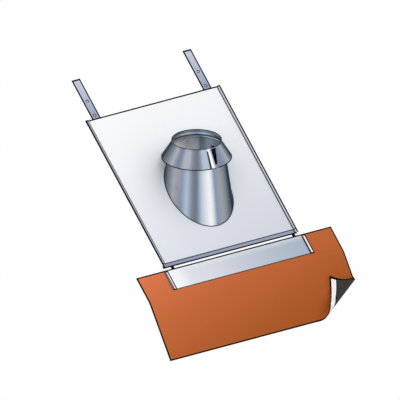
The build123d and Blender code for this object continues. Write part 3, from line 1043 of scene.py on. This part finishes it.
@dataclass
class Apron:
    """The flexible apron: a coloured sheet, its backing and a release liner, with one rolled corner."""

    width: float = 0.932
    middle: float = 0.012
    upper_length: float = 0.12
    lower_length: float = 0.25
    bend_angle: float = 15.3
    bend_radius: float = 0.07
    coat_thickness: float = 0.0015
    backing_thickness: float = 0.0015
    liner_width: float = 0.027
    liner_thickness: float = 0.0003
    curl_radius: float = 0.0139
    curl_turn: float = 222.8
    curl_angle: float = 32.5
    curl_distance: float = 0.1237
    curl_swell: float = 0.010
    swell_start: float = 0.035
    flap_curve: float = -13.8
    curl_steps: int = 36
    flap_steps: int = 12
    bend_steps: int = 8
    grid: float = 0.02
    wave_height: float = 0.0012
    wave_scale: float = 6.0
    wave_fade: float = 0.08
    start: float = -0.32029
    level: float = -0.01027

    @property
    def bend_start(self) -> float:
        """Where the bend across the sheet begins, from its top edge."""
        return self.upper_length - self.bend_radius * tan(radians(self.bend_angle) / 2)

    @property
    def length(self) -> float:
        """The sheet's flat length."""
        past_bend = self.lower_length - self.bend_radius * tan(radians(self.bend_angle) / 2)
        return self.bend_start + self.bend_radius * radians(self.bend_angle) + past_bend

    def build(self) -> None:
        for layer, finish, near, far, top in (
            (Layer.COAT, TerracottaCoat("apron_terracotta_coat"), 0.0, self.coat_thickness, 0.0),
            (Layer.BACKING, ButylBacking("apron_black_butyl"), self.coat_thickness, self.total, 0.0),
            (
                Layer.LINER,
                LinerPaper("liner_white_paper"),
                self.total,
                self.total + self.liner_thickness,
                self.length - self.liner_width,
            ),
        ):
            piece = new_piece(f"{layer.value}_formed", self.slab(layer, near, far, top))
            self.rule(finish.material()).bake(piece)
            smooth_faces(piece.data, limit=40.0)
            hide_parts(layer.value)
            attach(piece, "root")
            log.info("%s made with %d faces", piece.name, len(piece.data.polygons))
        self.length

    @property
    def total(self) -> float:
        """The thickness of the coat and its backing."""
        return self.coat_thickness + self.backing_thickness

    def cuts(self) -> Iterable[tuple[Point, Point]]:
        """Lists the lines that divide the flat sheet, as a point and a direction across each."""
        for column in range(1, round(self.width / self.grid)):
            yield (column * self.grid - self.width / 2, 0.0, 0.0), (1.0, 0.0, 0.0)
        for row in range(1, round(self.length / self.grid)):
            yield (0.0, -row * self.grid, 0.0), (0.0, 1.0, 0.0)
        for step in range(self.bend_steps + 1):
            down = self.bend_start + self.bend_radius * radians(self.bend_angle) * step / self.bend_steps
            yield (0.0, -down, 0.0), (0.0, 1.0, 0.0)
        angle = radians(self.curl_angle)
        across = Vector((sin(angle), -cos(angle), 0.0))
        corner = Vector((self.width / 2, -self.length, 0.0))
        roll = self.curl_radius * radians(self.curl_turn)
        flap = self.curl_distance - roll
        travels = [roll * step / self.curl_steps for step in range(self.curl_steps + 1)]
        travels += [roll + flap * step / self.flap_steps for step in range(1, self.flap_steps)]
        for travel in travels:
            yield tuple(corner + across * (travel - self.curl_distance)), tuple(across)

    def slab(self, layer: Layer, near: float, far: float, top: float) -> Mesh:
        """Makes a layer as it is cut, flat, and divided where it will bend.

        Args:
            layer: Which layer it is.
            near: The depth of its upper face below the apron's top face.
            far: The depth of its lower face.
            top: How far from the apron's top edge it begins.

        Returns:
            The closed mesh, with its flat pattern as its UV map.
        """
        shell = bmesh.new()
        middle = Vector((0.0, -(top + self.length) / 2, -(near + far) / 2))
        size = Matrix.Diagonal((self.width, self.length - top, far - near, 1.0))
        bmesh.ops.create_cube(shell, size=1.0, matrix=Matrix.Translation(middle) @ size)
        for point, normal in self.cuts():
            everything = [*shell.verts, *shell.edges, *shell.faces]
            bmesh.ops.bisect_plane(shell, geom=everything, dist=1e-7, plane_co=point, plane_no=normal)
        bmesh.ops.triangulate(shell, faces=shell.faces)
        pattern = shell.loops.layers.uv.new("flat_pattern")
        for face in shell.faces:
            for corner in face.loops:
                place = corner.vert.co
                corner[pattern].uv = (place.x / self.width + 0.5, -place.y / self.length)
        mesh = bpy.data.meshes.new(layer.value)
        shell.to_mesh(mesh)
        shell.free()
        return mesh

    def rule(self, material: Material) -> GeometryRule:
        """Makes the rule that rolls the corner, bends the sheet and lays it on the slope.

        Args:
            material: What the finished piece is dressed in.

        Returns:
            The rule, ready to run on a flat layer.
        """
        rule = GeometryRule(
            "lay_and_roll_apron",
            {
                "Half Width": self.width / 2,
                "Middle": self.middle,
                "Length": self.length,
                "Bend Start": self.bend_start,
                "Bend Radius": self.bend_radius,
                "Bend Turn": radians(self.bend_angle),
                "Curl Radius": self.curl_radius,
                "Curl Turn": radians(self.curl_turn),
                "Curl Line Distance": self.curl_distance,
                "Flap Curve": self.flap_curve,
                "Curl Swell": self.curl_swell,
                "Swell Start": self.swell_start,
                "Wave Height": self.wave_height,
            },
        )
        x, y, z = rule.position()
        x, down, off = self.rolled(rule, x, -y, z)
        waves = rule.node(
            "ShaderNodeTexNoise",
            sockets={"Vector": rule.join(x, down, 0.0), "Scale": self.wave_scale, "Detail": 1.0},
        )
        lift = (Wire(rule, waves.outputs[0]) - 0.5) * rule.size("Wave Height")
        lift = lift * rule.step(down, self.upper_length, self.upper_length + self.wave_fade)
        run, off = self.bent(rule, down, off + lift)
        position = SLOPE.lay(rule, x + rule.size("Middle"), self.start - run, off + self.level)
        rule.close(rule.moved(rule.entry.outputs[0], position), material)
        return rule

    def rolled(self, rule: GeometryRule, x: Wire, down: Wire, off: Wire) -> tuple[Wire, Wire, Wire]:
        """Rolls the corner up over its fold line.

        Args:
            rule: The rule that the nodes go into.
            x: The place across the flat sheet.
            down: The place down the flat sheet.
            off: The place off its top face.

        Returns:
            The three places after the roll.
        """
        c, s = cos(radians(self.curl_angle)), sin(radians(self.curl_angle))
        radius, most = rule.size("Curl Radius"), rule.size("Curl Turn")
        side, foot = x - rule.size("Half Width"), down - rule.size("Length")
        along = side * c - foot * s
        across = side * s + foot * c + rule.size("Curl Line Distance")
        travel = rule.math("MAXIMUM", across, 0.0)
        turn = rule.math("MINIMUM", travel / radius, most)
        rest = rule.math("MAXIMUM", travel - radius * most, 0.0)
        curve = rule.size("Flap Curve")
        end = most + curve * rest
        tilt = turn + curve * rest
        flap_reach = (rule.math("SINE", end) - rule.math("SINE", most)) / curve
        flap_rise = (rule.math("COSINE", most) - rule.math("COSINE", end)) / curve
        reach = rule.math("MINIMUM", across, 0.0) + radius * rule.math("SINE", turn)
        reach = reach + flap_reach - off * rule.math("SINE", tilt)
        first = rule.size("Swell Start")
        span = rule.math("MAXIMUM", (across - first) / (rule.size("Curl Line Distance") - first), 0.0)
        reach = reach + rule.size("Curl Swell") * rule.math("SINE", rule.math("MINIMUM", span, 1.0) * pi)
        rise = radius * (1.0 - rule.math("COSINE", turn)) + flap_rise + off * rule.math("COSINE", tilt)
        reach = reach - rule.size("Curl Line Distance")
        return (
            rule.size("Half Width") + along * c + reach * s,
            rule.size("Length") - along * s + reach * c,
            rise,
        )

    def bent(self, rule: GeometryRule, down: Wire, off: Wire) -> tuple[Wire, Wire]:
        """Bends the sheet down along the line across its width.

        Args:
            rule: The rule that the nodes go into.
            down: The place down the sheet.
            off: The place off its top face.

        Returns:
            The place along the slope from the top edge, and the place off it.
        """
        radius, most, first = rule.size("Bend Radius"), rule.size("Bend Turn"), rule.size("Bend Start")
        past = rule.math("MAXIMUM", down - first, 0.0)
        turn = rule.math("MINIMUM", past / radius, most)
        rest = rule.math("MAXIMUM", past - radius * most, 0.0)
        sine, cosine = rule.math("SINE", turn), rule.math("COSINE", turn)
        run = rule.math("MINIMUM", down, first) + (radius + off) * sine + rest * cosine
        return run, (radius + off) * cosine - radius - rest * sine


@dataclass
class Studio:
    """A pale floor far below the part, two soft lamps, a white surround and the camera."""

    floor_level: float = -2.2
    floor_half: float = 40.0
    floor_low: str = "#E9E9E9"
    floor_high: str = "#F1F1F1"
    floor_white: float = 0.985
    surround: float = 0.56
    lamps: Sequence[tuple[str, Point, float, float]] = (
        ("key_lamp", (-2.4, -2.9, 3.2), 4.0, 119.0),
        ("fill_lamp", (2.8, -2.4, 1.6), 3.5, 14.0),
    )
    view_azimuth: float = -33.43
    view_elevation: float = 23.89
    view_width: float = 1.6
    aim_right: float = 0.01348
    aim_up: float = -0.05604
    view_distance: float = 6.0

    def build(self) -> None:
        """Sets the stage, the lamps, the surround and the camera."""
        self.floor()
        self.sky()
        for name, place, size, power in self.lamps:
            self.lamp(name, place, size, power)
        self.camera()

    def floor(self) -> None:
        """Lays a plain pale floor that keeps the part's shadow."""
        shell = bmesh.new()
        bmesh.ops.create_grid(shell, x_segments=1, y_segments=1, size=self.floor_half)
        bmesh.ops.translate(shell, verts=shell.verts, vec=(0.0, 0.0, self.floor_level))
        mesh = bpy.data.meshes.new("studio_floor")
        shell.to_mesh(mesh)
        shell.free()
        paint = Paint("floor_pale")
        paint.fix(Roughness=0.9)
        grain = paint.noise(3.0)
        paint.feed("Base Color", paint.blend(grain, tone(self.floor_low), tone(self.floor_high)))
        glow = paint.node("ShaderNodeEmission", sockets={"Color": tone("#FFFFFF"), "Strength": 1.0})
        white = self.seen_directly(paint) * self.floor_white
        shaders = {1: paint.shader.outputs[0], 2: glow.outputs[0]}
        mixed = paint.node("ShaderNodeMixShader", sockets={0: white, **shaders})
        paint.tree.links.new(mixed.outputs[0], paint.output.inputs["Surface"])
        mesh.materials.append(paint.material)
        new_piece("studio_floor", mesh)

    @staticmethod
    def seen_directly(sheet: NodeSheet) -> Wire:
        """Returns 1 for rays that show the background, and 0 for those that light the part."""
        path = sheet.node("ShaderNodeLightPath").outputs
        camera, glossy, through = (
            Wire(sheet, path[name]) for name in ("Is Camera Ray", "Is Glossy Ray", "Is Transmission Ray")
        )
        return sheet.math("MAXIMUM", camera, sheet.math("MAXIMUM", glossy, through))

    def sky(self) -> None:
        """Makes the surround white to look at and plain in its light."""
        world = bpy.data.worlds.new("studio_surround")
        world.use_nodes = True
        sheet = NodeSheet(world.node_tree)
        sheet.tree.nodes.clear()
        strength = self.seen_directly(sheet) * (1.0 - self.surround) + self.surround
        glow = sheet.node("ShaderNodeBackground", sockets={"Color": tone("#FFFFFF"), "Strength": strength})
        sheet.node("ShaderNodeOutputWorld", sockets={"Surface": glow.outputs[0]})
        bpy.context.scene.world = world

    @staticmethod
    def lamp(name: str, place: Point, size: float, power: float) -> None:
        """Hangs a square soft lamp that points at the part."""
        data = bpy.data.lights.new(name, "AREA")
        data.shape = "SQUARE"
        data.size = size
        data.energy = power
        lamp = bpy.data.objects.new(name, data)
        bpy.context.scene.collection.objects.link(lamp)
        lamp.location = place
        lamp.rotation_mode = "QUATERNION"
        lamp.rotation_quaternion = (-Vector(place)).to_track_quat("-Z", "Y")
        lamp.visible_glossy = False

    def camera(self) -> None:
        """Places the camera for a parallel view from the front left, a little above."""
        azimuth, elevation = radians(self.view_azimuth), radians(self.view_elevation)
        back = Vector((sin(azimuth) * cos(elevation), -cos(azimuth) * cos(elevation), sin(elevation)))
        turn = (-back).to_track_quat("-Z", "Y")
        data = bpy.data.cameras.new("studio_camera")
        data.type = "ORTHO"
        data.ortho_scale = self.view_width
        data.clip_start, data.clip_end = 0.1, 100.0
        camera = bpy.data.objects.new("studio_camera", data)
        bpy.context.scene.collection.objects.link(camera)
        camera.rotation_mode = "QUATERNION"
        camera.rotation_quaternion = turn
        aim = turn @ Vector((self.aim_right, self.aim_up, 0.0))
        camera.location = aim + back * self.view_distance
        bpy.context.scene.camera = camera


def main() -> None:
    """Builds and dresses the flashing in its studio."""
    logging.basicConfig(level=logging.INFO, format="%(message)s")
    bpy.context.scene.view_settings.view_transform = "Standard"
    for group in (Studio(), BasePlate(), FlueCone(), StormCollar(), Fixings(), Apron()):
        group.build()


if __name__ == "__main__":
    main()
